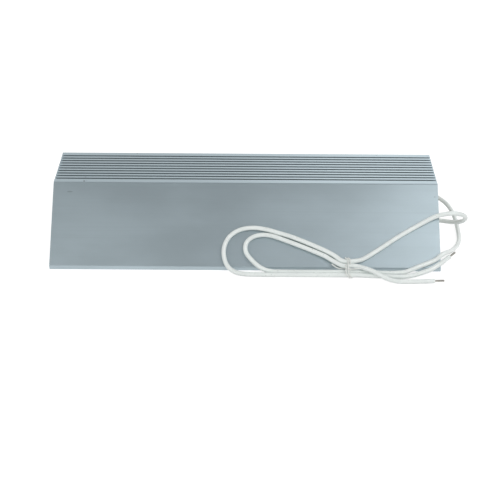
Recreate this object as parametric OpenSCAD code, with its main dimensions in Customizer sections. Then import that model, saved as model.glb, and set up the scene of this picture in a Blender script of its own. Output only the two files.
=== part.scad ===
// Aluminium housed power resistor: a ribbed trapezoid extrusion, potted, with two leads.
// +X runs along the housing to the lead end, -Y is the front, +Z is up. Millimetres.

/* [Housing] */
// Length of the sawn extrusion
body_len = 350; // [300:5:450]
// Height from the base to the rib tops
body_h = 56; // [52:0.5:66]
// Width across the two feet
base_w = 172; // [166:1:190]
// Height of the upright edge of each foot
foot_h = 4; // [3:0.25:6]
// Rounding of the two crown corners
crown_r = 2; // [1:0.25:3]
// Rounding of the foot edges
foot_r = 0.8; // [0.4:0.1:1.2]

/* [Crown ribs] */
// Number of grooves along the crown
groove_count = 10; // [6:1:12]
// Distance between the centres of two grooves
groove_pitch = 4.6; // [4:0.1:5]
// Width of one groove
groove_w = 2; // [1.4:0.1:2.4]
// Depth of one groove
groove_d = 7; // [4:0.5:8]
// Plain shoulder outside the last groove
shoulder_w = 5.4; // [4.5:0.1:7]

/* [Chamber] */
// Floor under the chamber
floor_t = 5; // [4:0.25:7]
// Wall between the chamber and the groove roots
roof_t = 4.5; // [3.5:0.25:6]
// Wall behind each sloped side
side_t = 5; // [4:0.25:6]
// Width of the chamber at its floor
chamber_w = 120; // [112:1:126]
// Rounding of the chamber's corners
chamber_r = 3; // [1:0.5:4]

/* [Mounting holes] */
// Radius of each tapped hole, at the core of its thread
tap_r = 2.5; // [2:0.25:3]
// Depth of each tapped hole
tap_depth = 10; // [8:0.5:12]
// Distance of a hole from the sawn end
tap_from_end = 20; // [12:1:40]
// Distance of a hole from the outer edge of the foot
tap_from_foot = 14; // [12:0.5:15]

/* [Ends] */
// Depth of each seal's face behind the sawn end
seal_recess = 1.5; // [0.5:0.25:4]
// Thickness of the potted seal
seal_t = 6; // [4:0.5:10]
// Thickness of the board under the seal
board_t = 3; // [2:0.5:5]

/* [Elements] */
// Distance between the centres of the two cores
core_spacing = 44; // [38:1:50]
// Outer radius of a ceramic core
core_r = 14; // [11:0.5:15]
// Radius of the hole along a core
core_bore_r = 6; // [4:0.5:8]
// Thickness of the board that holds the cores
support_t = 8; // [5:0.5:12]
// Width of the resistance ribbon
ribbon_w = 7; // [4:0.5:9]
// Thickness of the resistance ribbon
ribbon_t = 1.2; // [0.6:0.1:1.5]
// Distance from one turn of ribbon to the next
turn_pitch = 12; // [10:0.5:16]
// Width of a terminal band
band_w = 10; // [8:0.5:14]
// Thickness of a terminal band and its tab
band_t = 1; // [0.6:0.1:1.4]
// Width of a terminal tab
tab_w = 7; // [5:0.5:9]

/* [Leads] */
// Outer radius of the insulated lead
lead_r = 2.1; // [1.8:0.05:2.3]
// Radius of the bare conductor
conductor_r = 1; // [0.7:0.05:1.2]
// Length of bare conductor at the free end
tip_len = 9; // [6:0.5:14]
// Outer radius of a crimp barrel
crimp_r = 2.6; // [2.2:0.1:3]
// Length of a crimp barrel
crimp_len = 11; // [8:0.5:13]
// Outer radius of a lead sleeve
sleeve_r = 4; // [3.5:0.1:5]

/* [Bundle tie] */
// Width of one turn of the tie
tie_w = 1.5; // [1:0.1:1.8]
// Thickness of one turn of the tie
tie_t = 0.9; // [0.6:0.1:1]
// Distance between the tie's two turns
tie_pitch = 2.4; // [2.2:0.1:3]
// Radius of the tie's knot
knot_r = 1.3; // [1:0.1:1.5]
// Radius of the tie's loose ends
tie_end_r = 0.6; // [0.4:0.05:0.6]

/* [Hidden] */
$fn = 48;

// Clearance between two hidden pieces that are pushed together
fit = 0.1;
// Overlap that joins the shapes of one piece, and lets a cut run clear of a face
bite = 0.5;
// Steps in one rounded corner of an outline
arc_steps = 6;
// Sides of the plain tube that stands for a lead
lead_sides = 10;
// Length of bare conductor between a crimp and the insulation
bare_gap = 2;
// Space between an end board and the insulation's inner end
lead_inset = 1;
// Space between a core's end and the crimp
core_gap = 1;

// Sloped sides
crown_w = (groove_count - 1) * groove_pitch + groove_w + 2 * shoulder_w;
slope = atan2(body_h - foot_h, (base_w - crown_w) / 2);
function side_y(z) = base_w / 2 - (z - foot_h) / tan(slope);

// Chamber
roof_z = body_h - groove_d - roof_t;

// Places along X, from the lead end inwards
end_x = body_len / 2;
seal_x = end_x - seal_recess;
board_x = seal_x - seal_t;
lead_start_x = board_x - board_t - lead_inset;
crimp_x = lead_start_x - bare_gap - crimp_len;
core_x = crimp_x - core_gap;
band_x = core_x - bite - band_w;
support_x = band_x - bite - support_t;

// Elements
core_y = core_spacing / 2;
core_z = (floor_t + roof_z) / 2;
band_r = core_r + fit + band_t;
tab_z = core_z - band_r;
lead_z = tab_z + band_t + crimp_r;
winding_r = core_r + fit + ribbon_t;

// Free stretches of the two leads, as points along their middle. Each starts beyond the sawn end.
// The front lead loops over the edge of the sloped side, runs down to the tie, turns in the
// outer bight, and comes back along the foot.
FRONT_ROUTE = [
    [183, -22.6, 13.3], [190, -26, 14.4], [196, -31, 17.4], [199.8, -36.8, 22.2], [201, -42.4, 28.2],
    [199.2, -47, 34], [194.4, -50.4, 38.4], [187, -52.2, 40.6], [178.6, -53, 40], [170, -54, 37.6],
    [160, -57, 33.4], [138, -66.4, 24.8], [106, -82.2, 11.3], [97, -84.4, 10.2], [87, -84.4, 10.2],
    [79, -79.8, 13.2], [69, -75.6, 16.5], [43, -67.4, 23.6], [30, -64.4, 26.3], [18, -61.9, 28.5],
    [7, -60.9, 29.3], [-3, -61.9, 28.4], [-10.5, -64.7, 26], [-16, -69, 22.2], [-19, -75.2, 16.8],
    [-18.6, -82, 10.8], [-15, -88.3, 5.6], [-8, -92.6, 3], [2, -94.8, 2.5], [40, -95, 2.4],
    [76, -95.2, 2.6], [87, -95.9, 3.3], [97, -95.9, 3.3], [108, -95.7, 2.6], [126, -96.4, 2.4],
    [144, -96.6, 2.6], [163, -92, 6], [171, -87.8, 8.2], [177.5, -82.2, 9.1], [183.5, -75, 8.6]
];
// The rear lead drops to the table, climbs over the corner of the foot, runs along it to the
// inner bight, and comes back through the tie to its free end.
REAR_ROUTE = [
    [183, 21.5, 13], [190, 16.5, 12], [195.5, 8.5, 10.2], [199, -2, 7.6], [200.5, -14, 4.8],
    [200.5, -26, 3], [199.5, -37, 2.4], [196, -48, 3.4], [190.5, -59, 6.6], [184.5, -69.5, 10.8],
    [179.5, -76.2, 14.1], [174.5, -79.8, 13.4], [169.5, -82.5, 10.4], [154.5, -87.2, 6.5],
    [140, -90.8, 2.6], [108, -91, 2.6], [97, -91.5, 3.3], [87, -91.5, 3.3], [76, -90.8, 2.6],
    [27, -90.5, 2.5], [19, -90, 3.6], [12, -87.9, 6.4], [5.5, -83.2, 10.2], [0.8, -78, 14.4],
    [0.4, -72.6, 19.2], [4.6, -68.4, 22.8], [12, -66.2, 24.8], [21, -66.1, 24.9],
    [33, -68.8, 22.5], [69, -79.5, 13.1], [79, -84.2, 9.6], [87, -88.4, 7.9], [97, -88.4, 7.9],
    [112, -95.2, 7.6], [119, -99.4, 5.9], [127, -102.4, 3.4], [138, -104.2, 2.4],
    [167, -102.8, 2.4]
];
tie_x = 92;
// Places of the four lead stretches in the tie, as [y, z]
BUNDLE = [[-95.9, 3.3], [-91.5, 3.3], [-84.4, 10.2], [-88.4, 7.9]];
// Middle of the tie's knot, as [y, z]
tie_knot = [-93.6, 7.9];
// The tie's two loose ends: one over the leads, and one that comes out under them
TIE_ENDS = [
    [[93, -93.6, 8], [102, -95.5, 9.8]],
    [[91.5, -87.6, 4.3], [83, -88.8, 5.4], [77, -86.4, 8.2]]
];

function unit(v) = v / norm(v);

// An outline whose corners are rounded, each to its own radius
function corner_arc(before, at, after, r) =
    let (u = unit(before - at), w = unit(after - at), half = acos(u * w) / 2)
    let (centre = at + unit(u + w) * r / sin(half), start = at + u * r / tan(half) - centre)
    let (turn = sign(cross(u, w)) * (2 * half - 180))
    [for (k = [0 : arc_steps])
        let (a = turn * k / arc_steps)
        centre + [start.x * cos(a) - start.y * sin(a), start.x * sin(a) + start.y * cos(a)]];
function rounded(points, radii) =
    let (n = len(points))
    [for (i = [0 : n - 1])
        each corner_arc(points[(i + n - 1) % n], points[i], points[(i + 1) % n], radii[i])];

// Sections, drawn in the YZ plane and swept along X from x0 to x1
module along_x(x0, x1) {
    translate([x0, 0, 0])
        rotate([90, 0, 90])
            linear_extrude(height = x1 - x0)
                children();
}

module rod(x0, x1, r) {
    translate([x0, 0, 0])
        rotate([0, 90, 0])
            cylinder(h = x1 - x0, r = r);
}

module pipe(x0, x1, r, bore) {
    difference() {
        rod(x0, x1, r);
        rod(x0 - bite, x1 + bite, bore);
    }
}

module housing_outline() {
    polygon(rounded(
        [[-base_w / 2, 0], [base_w / 2, 0], [base_w / 2, foot_h],
            [crown_w / 2, body_h], [-crown_w / 2, body_h], [-base_w / 2, foot_h]],
        [foot_r, foot_r, foot_r, crown_r, crown_r, foot_r]));
}

// The chamber, made smaller all round by gap
module chamber_outline(gap = 0) {
    half = chamber_w / 2 - gap;
    wall = (side_t + gap) / sin(slope);
    top = roof_z - gap;
    knee_z = foot_h + (base_w / 2 - wall - half) * tan(slope);
    polygon(rounded(
        [[-half, floor_t + gap], [half, floor_t + gap], [half, knee_z],
            [side_y(top) - wall, top], [wall - side_y(top), top], [-half, knee_z]],
        [for (i = [1 : 6]) chamber_r]));
}

module groove_outline() {
    root_z = body_h - groove_d + groove_w / 2;
    translate([0, root_z])
        circle(r = groove_w / 2);
    translate([-groove_w / 2, root_z])
        square([groove_w, groove_d]);
}

module housing() {
    color([0.68, 0.72, 0.74])
        difference() {
            along_x(-end_x, end_x)
                difference() {
                    housing_outline();
                    chamber_outline();
                    for (i = [0 : groove_count - 1])
                        translate([(i - (groove_count - 1) / 2) * groove_pitch, 0])
                            groove_outline();
                }
            for (sx = [-1, 1], sy = [-1, 1])
                translate([sx * (end_x - tap_from_end), sy * (base_w / 2 - tap_from_foot), -bite])
                    cylinder(h = tap_depth + bite, r = tap_r);
        }
}

// A plug of the chamber's section, with a round hole for each element or lead
module chamber_plug(x0, x1, hole_z = 0, hole_r = 0) {
    difference() {
        along_x(x0, x1)
            chamber_outline(fit);
        if (hole_r > 0)
            for (sy = [-1, 1])
                translate([0, sy * core_y, hole_z])
                    rod(x0 - bite, x1 + bite, hole_r);
    }
}

module filling() {
    color([0.80, 0.76, 0.68])
        chamber_plug(-support_x, support_x, core_z, winding_r + fit);
}

module core_support() {
    color([0.90, 0.88, 0.82])
        chamber_plug(support_x, support_x + support_t, core_z, core_r + fit);
}

module core_support_left() {
    mirror([1, 0, 0])
        core_support();
}

module core_support_right() {
    core_support();
}

module end_board_left() {
    color([0.72, 0.58, 0.38])
        chamber_plug(-board_x, board_t - board_x);
}

module end_board_right() {
    color([0.72, 0.58, 0.38])
        chamber_plug(board_x - board_t, board_x, lead_z, sleeve_r + fit);
}

module end_seal_left() {
    color([0.88, 0.87, 0.83])
        chamber_plug(-seal_x, seal_t - seal_x);
}

module end_seal_right() {
    color([0.88, 0.87, 0.83])
        chamber_plug(board_x, seal_x, lead_z, sleeve_r + fit);
}

// One element: side is -1 at the front and 1 at the rear
module core(side) {
    color([0.92, 0.90, 0.84])
        translate([0, side * core_y, core_z])
            pipe(-core_x, core_x, core_r, core_bore_r);
}

module core_front() {
    core(-1);
}

module core_rear() {
    core(1);
}

// Turns of ribbon, joined by a skin as thin as the clearance would be
module winding(side) {
    length = 2 * (support_x - bite);
    turns = floor((length - ribbon_w) / turn_pitch) + 1;
    first = (length - (turns - 1) * turn_pitch - ribbon_w) / 2;
    color([0.45, 0.44, 0.42])
        translate([-length / 2, side * core_y, core_z])
            rotate([0, 90, 0])
                rotate_extrude()
                    translate([core_r + fit, 0]) {
                        square([ribbon_t / 3, length]);
                        for (i = [0 : turns - 1])
                            translate([0, first + i * turn_pitch])
                                square([ribbon_t, ribbon_w]);
                    }
}

module winding_front() {
    winding(-1);
}

module winding_rear() {
    winding(1);
}

// A steel band round the lead end of a core, with a tab that runs out under the crimp
module band(side) {
    color([0.62, 0.63, 0.64])
        translate([0, side * core_y, 0])
            difference() {
                union() {
                    translate([0, 0, core_z])
                        rod(band_x, band_x + band_w, band_r);
                    translate([band_x, -tab_w / 2, tab_z])
                        cube([crimp_x + crimp_len - band_x, tab_w, band_t]);
                }
                translate([0, 0, core_z])
                    rod(band_x - bite, core_x + fit, core_r + fit);
            }
}

module band_front_right() {
    band(-1);
}

module band_rear_right() {
    band(1);
}

module band_front_left() {
    mirror([1, 0, 0])
        band(-1);
}

module band_rear_left() {
    mirror([1, 0, 0])
        band(1);
}

// A flat strap that lies on both left-hand tabs
module link_strap() {
    color([0.62, 0.63, 0.64])
        translate([-crimp_x - crimp_len, -core_y - tab_w / 2, tab_z + band_t])
            cube([crimp_len, core_spacing + tab_w, band_t]);
}

module crimp(side) {
    color([0.78, 0.79, 0.80])
        translate([0, side * core_y, lead_z])
            pipe(crimp_x, crimp_x + crimp_len, crimp_r, conductor_r + fit);
}

module crimp_front() {
    crimp(-1);
}

module crimp_rear() {
    crimp(1);
}

module conductor(side) {
    color([0.80, 0.78, 0.74])
        translate([0, side * core_y, lead_z])
            rod(crimp_x + bite, lead_start_x, conductor_r);
}

module conductor_front() {
    conductor(-1);
}

module conductor_rear() {
    conductor(1);
}

module lead_sleeve(side) {
    color([0.90, 0.90, 0.86])
        translate([0, side * core_y, lead_z])
            pipe(board_x - board_t, end_x, sleeve_r, lead_r + fit);
}

module lead_sleeve_front() {
    lead_sleeve(-1);
}

module lead_sleeve_rear() {
    lead_sleeve(1);
}

// A plain tube swept along a route, with its rings carried round the bends without a twist
function lead_points(side, route) = concat(
    [[lead_start_x, side * core_y, lead_z], [end_x, side * core_y, lead_z]], route);
function headings(p) =
    [for (i = [0 : len(p) - 1]) unit(p[min(i + 1, len(p) - 1)] - p[max(i - 1, 0)])];
function carried(t, n, i = 0) =
    i == len(t) ? [] : let (m = unit(n - (n * t[i]) * t[i])) concat([m], carried(t, m, i + 1));

module lead(side, route) {
    p = lead_points(side, route);
    t = headings(p);
    n = carried(t, [0, 1, 0]);
    rings = len(p);
    points = [for (i = [0 : rings - 1], k = [0 : lead_sides - 1])
        let (a = 360 * k / lead_sides)
        p[i] + lead_r * (cos(a) * n[i] + sin(a) * cross(t[i], n[i]))];
    walls = [for (i = [0 : rings - 2], k = [0 : lead_sides - 1])
        let (a = i * lead_sides + k, b = i * lead_sides + (k + 1) % lead_sides)
        each [[a, a + lead_sides, b], [b, a + lead_sides, b + lead_sides]]];
    first_cap = [for (k = [0 : lead_sides - 1]) k];
    last_cap = [for (k = [lead_sides - 1 : -1 : 0]) (rings - 1) * lead_sides + k];
    color([0.93, 0.93, 0.90])
        polyhedron(points, concat(walls, [first_cap, last_cap]));
}

module lead_front() {
    lead(-1, FRONT_ROUTE);
}

module lead_rear() {
    lead(1, REAR_ROUTE);
}

// A round bar from one point to another
module bar(from, to, r) {
    heading = unit(to - from);
    translate(from)
        rotate([0, acos(heading.z), atan2(heading.y, heading.x)])
            cylinder(h = norm(to - from), r = r);
}

// The bare conductor beyond the end of a route, in line with its last stretch
module lead_tip(route) {
    last = route[len(route) - 1];
    heading = unit(last - route[len(route) - 2]);
    color([0.80, 0.78, 0.74])
        bar(last, last + tip_len * heading, conductor_r);
}

module lead_tip_front() {
    lead_tip(FRONT_ROUTE);
}

module lead_tip_rear() {
    lead_tip(REAR_ROUTE);
}

// A loop round the four stretches, grown from their circles by reach
module bundle_outline(reach) {
    hull()
        for (at = BUNDLE)
            translate(at)
                circle(r = lead_r + reach, $fn = 32);
}

// Two turns round the bundle, a knot that joins them, and two loose ends
module bundle_tie() {
    half = (tie_pitch + tie_w) / 2;
    // The ball that fills a bend in a loose end is a little wider than the end
    bend_r = 1.1 * tie_end_r;
    color([0.94, 0.94, 0.92]) {
        difference() {
            union() {
                for (x = [tie_x - tie_pitch / 2, tie_x + tie_pitch / 2])
                    along_x(x - tie_w / 2, x + tie_w / 2)
                        bundle_outline(fit + tie_t);
                translate([0, tie_knot.x, tie_knot.y])
                    rod(tie_x - half, tie_x + half, knot_r);
            }
            along_x(tie_x - half - bite, tie_x + half + bite)
                bundle_outline(fit);
        }
        for (points = TIE_ENDS) {
            for (i = [1 : len(points) - 1])
                bar(points[i - 1], points[i], tie_end_r);
            for (i = [1 : 1 : len(points) - 2])
                translate(points[i])
                    sphere(r = bend_r);
        }
    }
}

housing();
filling();
end_board_left();
end_board_right();
end_seal_left();
end_seal_right();
core_front();
core_rear();
winding_front();
winding_rear();
core_support_left();
core_support_right();
band_front_left();
band_front_right();
band_rear_left();
band_rear_right();
link_strap();
crimp_front();
crimp_rear();
conductor_front();
conductor_rear();
lead_sleeve_front();
lead_sleeve_rear();
lead_front();
lead_rear();
lead_tip_front();
lead_tip_rear();
bundle_tie();
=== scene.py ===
import math

import bmesh
import bpy
from bpy.props import FloatProperty, FloatVectorProperty, IntProperty, PointerProperty
from mathutils import Matrix, Vector, noise
from mathutils.kdtree import KDTree


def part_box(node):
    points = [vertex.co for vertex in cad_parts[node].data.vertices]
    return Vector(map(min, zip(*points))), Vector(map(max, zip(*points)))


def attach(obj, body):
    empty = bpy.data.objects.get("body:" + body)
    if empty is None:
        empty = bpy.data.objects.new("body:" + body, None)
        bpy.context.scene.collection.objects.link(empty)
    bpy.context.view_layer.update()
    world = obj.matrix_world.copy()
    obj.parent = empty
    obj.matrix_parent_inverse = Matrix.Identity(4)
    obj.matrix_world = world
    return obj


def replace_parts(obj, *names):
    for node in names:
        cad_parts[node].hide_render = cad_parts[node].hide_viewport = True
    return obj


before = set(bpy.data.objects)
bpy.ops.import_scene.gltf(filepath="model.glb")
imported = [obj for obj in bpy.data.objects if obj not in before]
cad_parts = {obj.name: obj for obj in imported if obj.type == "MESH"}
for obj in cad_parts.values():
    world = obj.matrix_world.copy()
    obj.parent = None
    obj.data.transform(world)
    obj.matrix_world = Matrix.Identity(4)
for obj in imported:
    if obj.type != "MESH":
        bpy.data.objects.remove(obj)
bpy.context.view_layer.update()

bl_info = {
    "name": "Housed Power Resistor",
    "version": (1, 0, 0),
    "blender": (4, 5, 0),
    "location": "3D View > Sidebar > Resistor",
    "description": "Finishes a potted power resistor, its leads and its tie around the solids",
    "category": "Object",
}

BODY = "root"

# Driving places, read from the solids
SIDES = ("front", "rear")
SAWN_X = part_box("housing")[1].x
CROWN_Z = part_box("housing")[1].z
CONDUCTOR_LOW, CONDUCTOR_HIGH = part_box("conductor_front")
CONDUCTOR_R = (CONDUCTOR_HIGH.z - CONDUCTOR_LOW.z) / 2


def lead_start(side):
    """Where a lead's cover begins, inside the housing: the end of its crimped conductor."""
    low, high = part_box("conductor_" + side)
    return Vector((high.x, (low.y + high.y) / 2, (low.z + high.z) / 2))


# The free stretch of each lead, as points along its middle
ROUTES = {
    "front": [
        (0.183, -0.0226, 0.0133), (0.19, -0.026, 0.0144), (0.196, -0.031, 0.0174),
        (0.1998, -0.0368, 0.0222), (0.201, -0.0424, 0.0282), (0.1992, -0.047, 0.034),
        (0.1944, -0.0504, 0.0384), (0.187, -0.0522, 0.0406), (0.1786, -0.053, 0.04),
        (0.17, -0.054, 0.0376), (0.16, -0.057, 0.0334), (0.138, -0.0664, 0.0248),
        (0.106, -0.0822, 0.0113), (0.097, -0.0844, 0.0102), (0.087, -0.0844, 0.0102),
        (0.079, -0.0798, 0.0132), (0.069, -0.0756, 0.0165), (0.043, -0.0674, 0.0236),
        (0.03, -0.0644, 0.0263), (0.018, -0.0619, 0.0285), (0.007, -0.0609, 0.0293),
        (-0.003, -0.0619, 0.0284), (-0.0105, -0.0647, 0.026), (-0.016, -0.069, 0.0222),
        (-0.019, -0.0752, 0.0168), (-0.0186, -0.082, 0.0108), (-0.015, -0.0883, 0.0056),
        (-0.008, -0.0926, 0.003), (0.002, -0.0948, 0.0025), (0.04, -0.095, 0.0024),
        (0.076, -0.0952, 0.0026), (0.087, -0.0959, 0.0033), (0.097, -0.0959, 0.0033),
        (0.108, -0.0957, 0.0026), (0.126, -0.0964, 0.0024), (0.144, -0.0966, 0.0026),
        (0.163, -0.092, 0.006), (0.171, -0.0878, 0.0082), (0.1775, -0.0822, 0.0091),
        (0.1835, -0.075, 0.0086),
    ],
    "rear": [
        (0.183, 0.0215, 0.013), (0.19, 0.0165, 0.012), (0.1955, 0.0085, 0.0102),
        (0.199, -0.002, 0.0076), (0.2005, -0.014, 0.0048), (0.2005, -0.026, 0.003),
        (0.1995, -0.037, 0.0024), (0.196, -0.048, 0.0034), (0.1905, -0.059, 0.0066),
        (0.1845, -0.0695, 0.0108), (0.1795, -0.0762, 0.0141), (0.1745, -0.0798, 0.0134),
        (0.1695, -0.0825, 0.0104), (0.1545, -0.0872, 0.0065), (0.14, -0.0908, 0.0026),
        (0.108, -0.091, 0.0026), (0.097, -0.0915, 0.0033), (0.087, -0.0915, 0.0033),
        (0.076, -0.0908, 0.0026), (0.027, -0.0905, 0.0025), (0.019, -0.09, 0.0036),
        (0.012, -0.0879, 0.0064), (0.0055, -0.0832, 0.0102), (0.0008, -0.078, 0.0144),
        (0.0004, -0.0726, 0.0192), (0.0046, -0.0684, 0.0228), (0.012, -0.0662, 0.0248),
        (0.021, -0.0661, 0.0249), (0.033, -0.0688, 0.0225), (0.069, -0.0795, 0.0131),
        (0.079, -0.0842, 0.0096), (0.087, -0.0884, 0.0079), (0.097, -0.0884, 0.0079),
        (0.112, -0.0952, 0.0076), (0.119, -0.0994, 0.0059), (0.127, -0.1024, 0.0034),
        (0.138, -0.1042, 0.0024), (0.167, -0.1028, 0.0024),
    ],
}
# The tie's middle along the leads, where the four stretches lie in it, as (y, z), where its
# knot lies, and its two loose ends
TIE_X = 0.092
BUNDLE = [(-0.0959, 0.0033), (-0.0915, 0.0033), (-0.0844, 0.0102), (-0.0884, 0.0079)]
TIE_KNOT = (-0.0936, 0.0079)
TIE_ENDS = [
    [(0.093, -0.0936, 0.008), (0.102, -0.0955, 0.0098)],
    [(0.0915, -0.0876, 0.0043), (0.083, -0.0888, 0.0054), (0.077, -0.0864, 0.0082)],
]

# Length of a straight step along a bend, and the radius of a lead's cover, which the tie lies on
BEND_STEP = 0.0012
COVER_R = 0.0021

# How finely the tie is wound, how long its knot is in pitches, where its turns start, and the
# side on which they reach furthest right
TURN_STEPS = 64
KNOT_STEPS = 30
KNOT_TURNS = 1.6
KNOT_REACH = 1.2
TIE_START = math.radians(120)
FRONT_FOOT = math.radians(225)

# A bare end: its wires across the conductor, steps along a wire, twist in radians, how much the
# wires open and how unevenly they are cut, their length as a share of the diagonal of the solid's
# box, and how far they start inside the cover
WIRES_ACROSS = 5.2
WIRE_STEPS = 18
WIRE_TWIST = 1.3
WIRE_SPLAY = 0.10
WIRE_TRIM = 0.05
TIP_SHARE = 0.97
TIP_TUCK = 0.0006

# A poured face: its grid, how far from a wall it still climbs, how far it lies calm beside one,
# how deep it settles, and its lumps as (fineness, height)
POUR_CELL = 0.0016
CLIMB_REACH = 0.0014
CALM_REACH = 0.003
SETTLED = 0.0002
LUMPS = ((60, 0.00035), (260, 0.00012))
SAME_PLACE = 1e-6

# The metal: how thin the band at the crown's top is that gets a painted highlight, the colour of a
# mark, the saw's centre, and the spacing of its marks divided by 2 pi
CROWN_HIGHLIGHT_T = 0.0003
MARK_TONE = (0.05, 0.055, 0.055)
SAW_CENTRE = (0, -0.25, 0.12)
SAW_SPACING = 0.00032

# Small marks on the metal: place, reach along and across the housing, darkness
MARKS = [
    ((-0.1474, -0.0256, 0.056), 0.0012, 0.0010, 0.75),
    ((-0.1452, -0.0248, 0.056), 0.0005, 0.0004, 0.45),
    ((-0.1471, -0.0186, 0.056), 0.0009, 0.0006, 0.50),
    ((-0.1040, 0.0262, 0.056), 0.0005, 0.0017, 0.45),
    ((-0.1158, 0.0266, 0.056), 0.0045, 0.0004, 0.30),
    ((0.1243, 0.0252, 0.056), 0.0010, 0.0005, 0.45),
    ((-0.1598, -0.0341, 0.0498), 0.0032, 0.0008, 0.28),
    ((0.1718, -0.0363, 0.0479), 0.0008, 0.0008, 0.30),
]

# The stage: camera, floor, sky, and the lamps as name, place, width, power and colour
CAMERA_PLACE = (0.0043, -0.8118, 0.5308)
SENSOR_W = 36
NEAREST_SEEN = 0.01
FLOOR_R = 4
FLOOR_CORNERS = 96
FLOOR_TONE = (0.62, 0.62, 0.62)
FLOOR_GLOW = 0.70
SKY_TURNS_AT = (0.72, 0.97)
SKY_SIDES = (0.66, 0.66, 0.66)
SKY_TOP = (0.285, 0.292, 0.30)
LAMPS = (
    ("key_lamp", (0.92, -0.76, 1.25), 1.0, 6.9, (1, 1, 1)),
    ("fill_lamp", (-0.78, -1.25, 0.95), 1.1, 4.6, (1, 1, 0.98)),
    ("back_lamp", (0.70, 1.3, 0.95), 1.4, 3, (1, 1, 1)),
)


class LeadSettings(bpy.types.PropertyGroup):
    """Sizes and colour of the two leads."""

    diameter: FloatProperty(
        name="Diameter", description="Across the insulation", default=0.0042, unit="LENGTH")
    length_front: FloatProperty(
        name="Front length", description="The front lead's cover, from its crimp",
        default=0.536, unit="LENGTH")
    length_rear: FloatProperty(
        name="Rear length", description="The rear lead's cover, from its crimp",
        default=0.510, unit="LENGTH")
    white: FloatVectorProperty(
        name="White", description="Colour of the silicone", default=(0.90, 0.95, 0.93),
        subtype="COLOR")
    strands: IntProperty(
        name="Outer strands", description="Strands round the outside of a bare end", default=12)


class TieSettings(bpy.types.PropertyGroup):
    """Sizes and colour of the tie round the bundle."""

    turns: FloatProperty(name="Turns", description="Times it goes round", default=2.0)
    strand: FloatProperty(
        name="Strand", description="Radius of the strand", default=0.00058, unit="LENGTH")
    pitch: FloatProperty(
        name="Pitch", description="Distance between two turns", default=0.0022, unit="LENGTH")
    slant: FloatProperty(
        name="Slant", description="How far a turn leans along the leads", default=0.0022,
        unit="LENGTH")
    white: FloatVectorProperty(
        name="White", description="Colour of the tie", default=(0.88, 0.90, 0.87),
        subtype="COLOR")


class MetalSettings(bpy.types.PropertyGroup):
    """Finish of the extruded housing."""

    tone: FloatVectorProperty(
        name="Tone", description="Colour of the anodised faces", default=(0.41, 0.488, 0.525),
        subtype="COLOR")
    sawn: FloatVectorProperty(
        name="Sawn tone", description="Colour of the bare cut ends",
        default=(0.55, 0.61, 0.63), subtype="COLOR")
    # Painted highlight: how much lighter the crown's top is made, standing in for light caught on
    # the rib tops
    top_highlight: FloatProperty(
        name="Top highlight", description="How much lighter the top of the crown is", default=1.3)
    roughness: FloatProperty(
        name="Roughness", description="Of the anodised faces", default=0.34, min=0, max=1)


class SealSettings(bpy.types.PropertyGroup):
    """Form and colour of the poured end seals."""

    creep: FloatProperty(
        name="Creep", description="How far the seal climbs its walls", default=0.0009,
        unit="LENGTH")
    tone: FloatVectorProperty(
        name="Tone", description="Colour of the compound", default=(0.66, 0.65, 0.60),
        subtype="COLOR")


class StageSettings(bpy.types.PropertyGroup):
    """The camera's lens and its turn."""

    lens: FloatProperty(name="Lens", description="Focal length in millimetres", default=72.3)
    tilt: FloatProperty(
        name="Tilt", description="How far the camera looks down", default=math.radians(35),
        subtype="ANGLE")
    roll: FloatProperty(
        name="Roll", description="Turn about the line of sight", default=math.radians(0.36),
        subtype="ANGLE")


class ResistorSettings(bpy.types.PropertyGroup):
    """Everything that a user would change."""

    leads: PointerProperty(type=LeadSettings)
    tie: PointerProperty(type=TieSettings)
    metal: PointerProperty(type=MetalSettings)
    seals: PointerProperty(type=SealSettings)
    stage: PointerProperty(type=StageSettings)


class Value:
    """A shader socket. Arithmetic on it adds Math nodes."""

    def __init__(self, recipe, socket):
        self.recipe = recipe
        self.socket = socket

    def math(self, operation, *others):
        inputs = dict(enumerate((self, *others)))
        return self.recipe.node("ShaderNodeMath", {"operation": operation}, inputs)

    def __add__(self, other):
        return self.math("ADD", other)

    __radd__ = __add__

    def __sub__(self, other):
        return self.math("SUBTRACT", other)

    def __rsub__(self, other):
        return self * -1 + other

    def __mul__(self, other):
        return self.math("MULTIPLY", other)

    __rmul__ = __mul__

    def __abs__(self):
        return self.math("ABSOLUTE")

    def __gt__(self, other):
        return self.math("GREATER_THAN", other)

    def sine(self):
        return self.math("SINE")

    def step(self, low, high):
        """0 below low, 1 above high, and smooth between."""
        settings = {"interpolation_type": "SMOOTHSTEP"}
        return self.recipe.node(
            "ShaderNodeMapRange", settings, {"Value": self, "From Min": low, "From Max": high})


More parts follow.
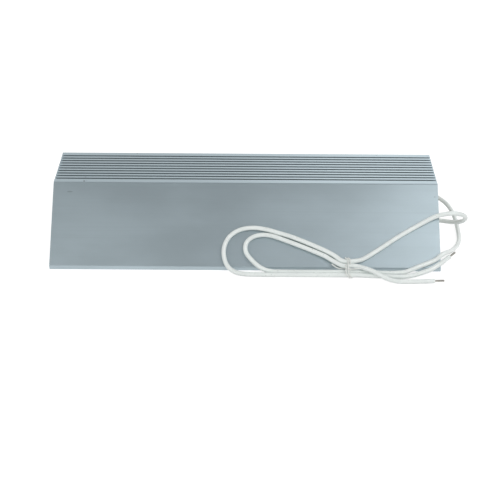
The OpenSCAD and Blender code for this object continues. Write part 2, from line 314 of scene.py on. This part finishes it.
class Recipe:
    """The nodes of one material, or of the world."""

    def __init__(self, owner):
        owner.use_nodes = True
        self.owner = owner
        self.tree = owner.node_tree
        self.tree.nodes.clear()

    def node(self, kind, settings=None, inputs=None, output=0):
        made = self.tree.nodes.new(kind)
        for name, value in (settings or {}).items():
            setattr(made, name, value)
        for key, value in (inputs or {}).items():
            if isinstance(value, Value):
                self.tree.links.new(value.socket, made.inputs[key])
            else:
                made.inputs[key].default_value = value
        return Value(self, made.outputs[output]) if made.outputs else None

    def place(self):
        return self.node("ShaderNodeTexCoord", output="Object")

    def along(self):
        return self.node("ShaderNodeTexCoord", output="UV")

    def facing(self):
        return self.node("ShaderNodeNewGeometry", output="True Normal")

    def part(self, vector, axis):
        return self.node("ShaderNodeSeparateXYZ", None, {0: vector}, axis)

    def scaled(self, vector, scale):
        return self.node(
            "ShaderNodeVectorMath", {"operation": "MULTIPLY"}, {0: vector, 1: scale})

    def noise(self, vector, scale, detail=3.0, rough=0.5):
        """Noise on a vector that is first stretched by the three numbers of scale."""
        inputs = {"Vector": self.scaled(vector, scale), "Scale": 1.0,
                  "Detail": detail, "Roughness": rough}
        return self.node("ShaderNodeTexNoise", None, inputs)

    def distance(self, vector, place, reach):
        """Distance from place, in reaches, for an ellipse with its own reach on each axis."""
        offset = self.node(
            "ShaderNodeVectorMath", {"operation": "SUBTRACT"}, {0: vector, 1: place})
        shrunk = self.scaled(offset, [1 / r for r in reach])
        return self.node("ShaderNodeVectorMath", {"operation": "LENGTH"}, {0: shrunk}, "Value")

    def mix(self, factor, first, second):
        settings = {"data_type": "RGBA"}
        inputs = {0: factor, 6: colour(first), 7: colour(second)}
        return self.node("ShaderNodeMix", settings, inputs, 2)

    def bump(self, height, distance, strength=1.0):
        return self.node(
            "ShaderNodeBump", None, {"Height": height, "Distance": distance, "Strength": strength})

    def finish(self, **sockets):
        """The surface, with sockets named as on the Principled shader."""
        named = {name.replace("_", " "): value for name, value in sockets.items()}
        surface = self.node("ShaderNodeBsdfPrincipled", None, named)
        self.node("ShaderNodeOutputMaterial", None, {"Surface": surface})
        return self.owner


def material_recipe(name):
    return Recipe(bpy.data.materials.new(name))


def colour(value):
    """A colour as a node's socket takes it."""
    return value if isinstance(value, Value) else (*value[:3], 1.0)


def tinted(tone, amount):
    """A colour made lighter or darker."""
    return tuple(channel * amount for channel in tone)


def anodised_metal(settings):
    """Clear anodised extrusion: matt, slow clouding, faint die lines, sawn ends, painted highlight
    on top.
    """
    r = material_recipe("anodised_metal")
    place = r.place()
    sawn = abs(r.part(r.facing(), 0)).step(0.7, 0.9)
    lines = r.noise(place, (3, 500, 500), detail=4, rough=0.6)
    etch = r.noise(place, (1500, 2100, 2100), detail=3, rough=0.6)
    cloud = r.noise(place, (11, 26, 26), detail=4, rough=0.55)
    tone = r.mix(cloud.step(0.3, 0.7), tinted(settings.tone, 0.94), tinted(settings.tone, 1.05))
    tone = r.mix(lines.step(0.45, 0.7) * 0.2, tone, tinted(settings.tone, 0.88))
    # Painted highlight: the crown's top is made lighter, standing in for light caught on the rib
    # tops
    top = r.part(place, 2) > CROWN_Z - CROWN_HIGHLIGHT_T
    tone = r.mix(top, tone, tinted(settings.tone, settings.top_highlight))
    dark = None
    for spot, length, width, depth in MARKS:
        reach = (length, width, width)
        mark = (1 - r.distance(place, spot, reach).step(0.5, 1.1)) * depth
        dark = mark if dark is None else dark + mark
    tone = r.mix(dark, tone, MARK_TONE)
    turns = r.distance(place, SAW_CENTRE, (SAW_SPACING,) * 3)
    saw_marks = (turns + r.noise(place, (60, 60, 60), detail=2) * 6).sine()
    cut = r.mix(saw_marks * 0.25 + 0.5, tinted(settings.sawn, 0.84), settings.sawn)
    rough = settings.roughness + (cloud - 0.5) * 0.08 + (lines - 0.5) * 0.04
    height = (lines * 0.25 + etch * 0.4) * (1 - sawn) + saw_marks * 0.8 * sawn
    return r.finish(
        Base_Color=r.mix(sawn, tone, cut),
        Metallic=0.8,
        Roughness=rough + sawn * 0.04,
        Normal=r.bump(height, 0.00003, 0.5),
    )


def silicone(settings, name):
    """Soft white insulation with a faint knit under the skin and handling marks."""
    r = material_recipe(name)
    place = r.place()
    uv = r.along()
    knit = (r.part(uv, 0) * 900).sine() * (r.part(uv, 1) * 50).sine()
    worn = r.noise(place, (70, 70, 70), detail=4, rough=0.6)
    fleck = r.noise(place, (500, 500, 500), detail=2, rough=0.5)
    tone = r.mix(worn.step(0.35, 0.75) * 0.5, settings.white, tinted(settings.white, 0.84))
    tone = r.mix(fleck.step(0.66, 0.74) * 0.35, tone, (0.42, 0.42, 0.38))
    return r.finish(
        Base_Color=tone,
        Roughness=0.30 + (worn - 0.5) * 0.2,
        Coat_Weight=0.5,
        Coat_Roughness=0.2,
        Normal=r.bump(knit * 0.5 + worn * 2, 0.00006, 0.5),
    )


def moulded_nylon(settings):
    """The tie's pale, slightly hazy strand."""
    r = material_recipe("moulded_nylon")
    place = r.place()
    haze = r.noise(place, (260, 260, 260), detail=3)
    return r.finish(
        Base_Color=r.mix(haze * 0.5, settings.white, tinted(settings.white, 0.82)),
        Roughness=0.34 + haze * 0.12,
        Normal=r.bump(haze, 0.00005, 0.4),
    )


def grainy(name, light, dark, grain, roughness, depth, metallic=0.0):
    """A set, fired, moulded or plated surface with an even grain of the given size."""
    r = material_recipe(name)
    place = r.place()
    scale = (1 / grain,) * 3
    fine = r.noise(place, scale, detail=4, rough=0.65)
    broad = r.noise(place, tuple(s / 9 for s in scale), detail=3, rough=0.5)
    tone = r.mix(fine.step(0.3, 0.7), dark, light)
    tone = r.mix(broad * 0.3, tone, tinted(dark, 0.9))
    return r.finish(
        Base_Color=tone,
        Metallic=metallic,
        Roughness=roughness + (fine - 0.5) * 0.15,
        Normal=r.bump(fine, depth, 0.7),
    )


def braided_sleeve():
    """Glass braid: two crossing sets of ridges."""
    r = material_recipe("braided_sleeve")
    place = r.place()
    fineness = 5200
    across = r.part(place, 1) * fineness
    lengthwise = r.part(place, 0) * fineness
    weave = (across + lengthwise).sine() * (across - lengthwise).sine()
    tone = r.mix(weave * 0.5 + 0.5, (0.62, 0.61, 0.55), (0.80, 0.79, 0.74))
    return r.finish(Base_Color=tone, Roughness=0.7, Normal=r.bump(weave, 0.0001, 0.7))


def laminated_board():
    """Brown board in thin layers, one behind another along the housing."""
    r = material_recipe("laminated_board")
    place = r.place()
    fibre = r.noise(place, (1400, 220, 220), detail=4, rough=0.7)
    tone = r.mix(fibre, (0.36, 0.22, 0.09), (0.60, 0.43, 0.22))
    return r.finish(Base_Color=tone, Roughness=0.62, Normal=r.bump(fibre, 0.0001, 0.5))


def add_piece(name, mesh, material, smooth=True):
    """A finished piece at the origin, which moves with the resistor."""
    mesh.name = name
    piece = bpy.data.objects.new(name, mesh)
    bpy.context.scene.collection.objects.link(piece)
    mesh.materials.clear()
    mesh.materials.append(material)
    if smooth:
        mesh.shade_smooth()
    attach(piece, BODY)
    return piece


def paint(nodes, material):
    """Gives solids that stay as they are their finish."""
    for name in nodes:
        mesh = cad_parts[name].data
        mesh.materials.clear()
        mesh.materials.append(material)


def hand_bent(points):
    """Centreline points of a smooth curve that passes through every point of a route."""
    knots = [Vector(p) for p in points]
    line = []
    for i in range(len(knots) - 1):
        before, after = knots[max(i - 1, 0)], knots[min(i + 2, len(knots) - 1)]
        a, b = knots[i], knots[i + 1]
        reach = (b - a).length / 3
        leave = a + (b - before).normalized() * reach
        arrive = b - (after - a).normalized() * reach
        steps = max(2, round((b - a).length / BEND_STEP))
        for k in range(steps):
            t = k / steps
            s = 1 - t
            line.append(s ** 3 * a + 3 * s * s * t * leave + 3 * s * t * t * arrive + t ** 3 * b)
    return line + [knots[-1]]


def swept(name, line, radius, sides=10):
    """A closed tube along a line, with an even number of sides."""
    curve = bpy.data.curves.new(name + "_line", "CURVE")
    curve.dimensions = "3D"
    curve.bevel_depth = radius
    curve.bevel_resolution = sides // 2 - 2
    curve.use_fill_caps = True
    spline = curve.splines.new("POLY")
    spline.points.add(len(line) - 1)
    for point, at in zip(spline.points, line):
        point.co = (*at, 1)
    holder = bpy.data.objects.new(name + "_line", curve)
    bpy.context.scene.collection.objects.link(holder)
    mesh = bpy.data.meshes.new_from_object(
        holder.evaluated_get(bpy.context.evaluated_depsgraph_get()))
    bpy.data.objects.remove(holder)
    bpy.data.curves.remove(curve)
    return mesh


def joined(meshes, name):
    """One mesh from several."""
    whole = bmesh.new()
    for mesh in meshes:
        whole.from_mesh(mesh)
        bpy.data.meshes.remove(mesh)
    made = bpy.data.meshes.new(name)
    whole.to_mesh(made)
    whole.free()
    return made


def tip_axis(side):
    """The start and the direction of a bare end."""
    last = Vector(ROUTES[side][-1])
    return last, (last - Vector(ROUTES[side][-2])).normalized()


def twisted_strands(side, strands):
    """Fine wires laid round each other: one in the middle, a ring, and an outer ring."""
    start, heading = tip_axis(side)
    across = heading.orthogonal().normalized()
    other = heading.cross(across)
    low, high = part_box("lead_tip_" + side)
    length = (high - low).length * TIP_SHARE
    wire_r = CONDUCTOR_R / WIRES_ACROSS
    rings = [(1, 0.0), (strands // 2, 2 * wire_r), (strands, 4 * wire_r)]
    wires = []
    for count, radius in rings:
        for i in range(count):
            line = []
            splay = 1.0 + WIRE_SPLAY * ((i * 7 + count) % 5 - 2) / 2
            trim = length * (1 - WIRE_TRIM * ((i * 5 + count) % 4) / 3)
            for k in range(WIRE_STEPS + 1):
                t = k / WIRE_STEPS
                angle = 2 * math.pi * i / count + WIRE_TWIST * t
                spread = radius * (1 + WIRE_SPLAY * t * t * splay)
                line.append(start + heading * (trim * t - TIP_TUCK)
                            + across * spread * math.cos(angle) + other * spread * math.sin(angle))
            wires.append(swept("strand", line, wire_r, 6))
    return joined(wires, "bare_end_" + side)


def round_the_bundle(angle, grown):
    """The point of a loop round the four leads that faces outwards at an angle, as (y, z)."""
    outward = Vector((math.cos(angle), math.sin(angle)))
    corner = max((Vector(at) for at in BUNDLE), key=lambda at: at.dot(outward))
    return corner + outward * grown


class MakeStage(bpy.types.Operator):
    """Floor, light and camera"""

    bl_idname = "resistor.make_stage"
    bl_label = "Make Stage"

    def execute(self, context):
        settings = context.scene.resistor.stage
        self.add_camera(context, settings)
        self.add_floor(context)
        self.add_sky(context)
        for lamp in LAMPS:
            self.add_lamp(context, *lamp)
        context.scene.view_settings.view_transform = "Standard"
        return {"FINISHED"}

    def add_camera(self, context, settings):
        lens = bpy.data.cameras.new("camera")
        lens.lens = settings.lens
        lens.sensor_width = SENSOR_W
        lens.clip_start = NEAREST_SEEN
        camera = bpy.data.objects.new("camera", lens)
        camera.location = CAMERA_PLACE
        down = Matrix.Rotation(math.pi / 2 - settings.tilt, 4, "X")
        camera.rotation_euler = (down @ Matrix.Rotation(settings.roll, 4, "Z")).to_euler()
        context.scene.collection.objects.link(camera)
        context.scene.camera = camera

    def add_floor(self, context):
        shape = bmesh.new()
        bmesh.ops.create_circle(shape, cap_ends=True, segments=FLOOR_CORNERS, radius=FLOOR_R)
        mesh = bpy.data.meshes.new("floor")
        shape.to_mesh(mesh)
        shape.free()
        floor = bpy.data.objects.new("floor", mesh)
        context.scene.collection.objects.link(floor)
        mesh.materials.append(self.paper())

    def paper(self):
        r = material_recipe("floor_paper")
        seen = self.seen_directly(r)
        surface = r.node("ShaderNodeBsdfDiffuse", None, {"Color": colour(FLOOR_TONE)})
        glow = r.node("ShaderNodeEmission", None, {"Strength": seen * FLOOR_GLOW})
        both = r.node("ShaderNodeAddShader", None, {0: surface, 1: glow})
        r.node("ShaderNodeOutputMaterial", None, {"Surface": both})
        return r.owner

    def seen_directly(self, r):
        """1 on camera, mirror and see-through rays, and 0 on those that carry light."""
        seen = r.node("ShaderNodeLightPath", output="Is Camera Ray")
        gloss = r.node("ShaderNodeLightPath", output="Is Glossy Ray")
        through = r.node("ShaderNodeLightPath", output="Is Transmission Ray")
        return (seen + gloss + through).math("MINIMUM", 1.0)

    def add_sky(self, context):
        world = bpy.data.worlds.new("studio")
        context.scene.world = world
        r = Recipe(world)
        seen = r.node("ShaderNodeLightPath", output="Is Camera Ray")
        height = r.part(r.node("ShaderNodeTexCoord", output="Generated"), 2)
        level = r.mix(height.step(*SKY_TURNS_AT), SKY_SIDES, SKY_TOP)
        white = r.mix(seen, level, (1, 1, 1))
        glow = r.node("ShaderNodeBackground", None, {"Color": white, "Strength": 1.0})
        r.node("ShaderNodeOutputWorld", None, {"Surface": glow})

    def add_lamp(self, context, name, place, size, power, tint):
        light = bpy.data.lights.new(name, "AREA")
        light.size = size
        light.energy = power
        light.color = tint
        lamp = bpy.data.objects.new(name, light)
        lamp.location = place
        lamp.rotation_euler = (-Vector(place)).to_track_quat("-Z", "Y").to_euler()
        context.scene.collection.objects.link(lamp)


class LayLeads(bpy.types.Operator):
    """Both leads with their bare ends, and the tie that holds them"""

    bl_idname = "resistor.lay_leads"
    bl_label = "Lay Leads"

    def execute(self, context):
        settings = context.scene.resistor
        cover = silicone(settings.leads, "silicone_lead")
        copper = grainy("tinned_copper", light=(0.62, 0.60, 0.56), dark=(0.42, 0.41, 0.38),
                        grain=0.0003, roughness=0.35, depth=0.00002, metallic=0.9)
        tie = self.add_tie(settings.tie)
        for side in SIDES:
            bare = add_piece("bare_end_" + side,
                             twisted_strands(side, settings.leads.strands), copper)
            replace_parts(bare, "lead_tip_" + side)
            self.add_lead(side, settings.leads, cover, [bare, tie] if side == "front" else [bare])
        return {"FINISHED"}

    def add_lead(self, side, settings, cover, with_pieces):
        start = lead_start(side)
        leave = Vector((SAWN_X, start.y, start.z))
        length = getattr(settings, "length_" + side)
        line = hand_bent([start, leave, *ROUTES[side]])
        mesh = swept("insulated_lead_" + side, line, settings.diameter / 2)
        lead = add_piece("insulated_lead_" + side, mesh, cover)
        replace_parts(lead, "lead_" + side)

    def add_tie(self, settings):
        lines = [self.turns(settings), self.knot(settings), *map(hand_bent, TIE_ENDS)]
        strands = [swept("strand", line, settings.strand, 8) for line in lines]
        tie = add_piece("lead_tie", joined(strands, "lead_tie"), moulded_nylon(settings))
        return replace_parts(tie, "bundle_tie")

    def turns(self, settings):
        """The turns round the bundle, which lean to the right as they come down in front."""
        line = []
        steps = round(TURN_STEPS * settings.turns)
        for k in range(steps + 1):
            turned = settings.turns * k / steps
            angle = 2 * math.pi * turned + TIE_START
            y, z = round_the_bundle(angle, COVER_R + settings.strand)
            lean = settings.slant * math.cos(angle - FRONT_FOOT)
            x = TIE_X + settings.pitch * (turned - settings.turns / 2) + lean
            line.append(Vector((x, y, max(z, settings.strand))))
        return line

    def knot(self, settings):
        """A short coil on top of the turns."""
        line = []
        y, z = TIE_KNOT
        for k in range(KNOT_STEPS + 1):
            t = k / KNOT_STEPS
            angle = 2 * math.pi * KNOT_TURNS * t
            x = TIE_X + settings.pitch * KNOT_REACH * (t - 0.5)
            line.append(Vector((x, y + settings.strand * math.cos(angle),
                                z + settings.strand * math.sin(angle))))
        return line


class PourSeals(bpy.types.Operator):
    """Both end seals, whose poured faces climb the chamber's walls"""

    bl_idname = "resistor.pour_seals"
    bl_label = "Pour Seals"

    def execute(self, context):
        settings = context.scene.resistor.seals
        compound = grainy("poured_compound", light=settings.tone, dark=tinted(settings.tone, 0.8),
                          grain=0.0009, roughness=0.66, depth=0.00015)
        for side, outward in (("left", -1), ("right", 1)):
            node = "end_seal_" + side
            seal = add_piece("poured_seal_" + side, self.poured(node, outward, settings.creep),
                             compound, smooth=False)
            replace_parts(seal, node)
        return {"FINISHED"}

    def poured(self, node, outward, creep):
        """A copy of a seal with a fine grid over it and its outer face reshaped."""
        low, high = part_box(node)
        face_x = high.x if outward > 0 else low.x
        shape = bmesh.new()
        shape.from_mesh(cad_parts[node].data)
        bmesh.ops.remove_doubles(shape, verts=shape.verts, dist=SAME_PLACE)
        for axis in (1, 2):
            count = int((high[axis] - low[axis]) / POUR_CELL)
            for i in range(1, count):
                at, along = Vector(low), Vector((0, 0, 0))
                at[axis] += (high[axis] - low[axis]) * i / count
                along[axis] = 1
                everything = shape.verts[:] + shape.edges[:] + shape.faces[:]
                bmesh.ops.bisect_plane(shape, geom=everything, plane_co=at, plane_no=along)
        self.raise_face(shape, face_x, outward, creep)
        mesh = bpy.data.meshes.new("poured")
        bmesh.ops.triangulate(shape, faces=shape.faces)
        shape.to_mesh(mesh)
        shape.free()
        return mesh

    def raise_face(self, shape, face_x, outward, creep):
        """Lifts the outer face beside its walls and roughens it away from them."""
        on_face = [v for v in shape.verts if abs(v.co.x - face_x) < SAME_PLACE]
        rim = [v for v in on_face if any(abs(f.normal.x) < 0.5 for f in v.link_faces)]
        tree = KDTree(len(rim))
        for i, v in enumerate(rim):
            tree.insert(v.co, i)
        tree.balance()
        moves = []
        for v in on_face:
            wall = tree.find(v.co)[2]
            lumps = sum(noise.noise(v.co * fine) * height for fine, height in LUMPS)
            climb = creep * math.exp(-wall / CLIMB_REACH)
            moves.append((v, climb + lumps * min(1.0, wall / CALM_REACH) - SETTLED))
        for v, rise in moves:
            v.co.x += outward * rise


class FinishMetal(bpy.types.Operator):
    """The anodised and sawn surfaces of the housing"""

    bl_idname = "resistor.finish_metal"
    bl_label = "Finish Metal"

    def execute(self, context):
        paint(["housing"], anodised_metal(context.scene.resistor.metal))
        return {"FINISHED"}


class FinishInside(bpy.types.Operator):
    """The filling, boards, elements and terminals inside the housing"""

    bl_idname = "resistor.finish_inside"
    bl_label = "Finish Inside"

    def execute(self, context):
        paint(["filling"],
              grainy("set_sand", light=(0.68, 0.62, 0.52), dark=(0.46, 0.41, 0.33),
                     grain=0.0008, roughness=0.8, depth=0.0002))
        paint(["end_board_left", "end_board_right"], laminated_board())
        paint(["core_front", "core_rear", "core_support_left", "core_support_right"],
              grainy("fired_ceramic", light=(0.84, 0.81, 0.74), dark=(0.70, 0.67, 0.60),
                     grain=0.0006, roughness=0.7, depth=0.00006))
        paint(["winding_front", "winding_rear"],
              grainy("oxidised_ribbon", light=(0.34, 0.33, 0.31), dark=(0.16, 0.15, 0.15),
                     grain=0.0005, roughness=0.5, depth=0.00003, metallic=0.8))
        bands = [f"band_{row}_{end}" for row in ("front", "rear") for end in ("left", "right")]
        paint([*bands, "link_strap"],
              grainy("pressed_steel", light=(0.58, 0.59, 0.60), dark=(0.44, 0.45, 0.46),
                     grain=0.0004, roughness=0.38, depth=0.00002, metallic=0.9))
        paint(["crimp_front", "crimp_rear", "conductor_front", "conductor_rear"],
              grainy("tinned_terminal", light=(0.66, 0.65, 0.62), dark=(0.50, 0.49, 0.46),
                     grain=0.0004, roughness=0.32, depth=0.00002, metallic=0.9))
        paint(["lead_sleeve_front", "lead_sleeve_rear"], braided_sleeve())
        return {"FINISHED"}


class ResistorPanel(bpy.types.Panel):
    """Shows the resistor's settings and the steps that build it"""

    bl_idname = "VIEW3D_PT_resistor"
    bl_label = "Power Resistor"
    bl_space_type = "VIEW_3D"
    bl_region_type = "UI"
    bl_category = "Resistor"

    def draw(self, context):
        settings = context.scene.resistor
        for group in (settings.leads, settings.tie, settings.metal, settings.seals,
                      settings.stage):
            box = self.layout.box()
            for name in group.__annotations__:
                box.prop(group, name)
        for step in STEPS:
            self.layout.operator(step.bl_idname)


STEPS = (MakeStage, LayLeads, PourSeals, FinishMetal, FinishInside)
CLASSES = (LeadSettings, TieSettings, MetalSettings, SealSettings, StageSettings,
           ResistorSettings, *STEPS, ResistorPanel)


def register():
    for item in CLASSES:
        bpy.utils.register_class(item)
    bpy.types.Scene.resistor = PointerProperty(type=ResistorSettings)


def unregister():
    del bpy.types.Scene.resistor
    for item in reversed(CLASSES):
        bpy.utils.unregister_class(item)


def main():
    register()
    bpy.ops.resistor.make_stage()
    bpy.ops.resistor.lay_leads()
    bpy.ops.resistor.pour_seals()
    bpy.ops.resistor.finish_metal()
    bpy.ops.resistor.finish_inside()


if __name__ == "__main__":
    main()
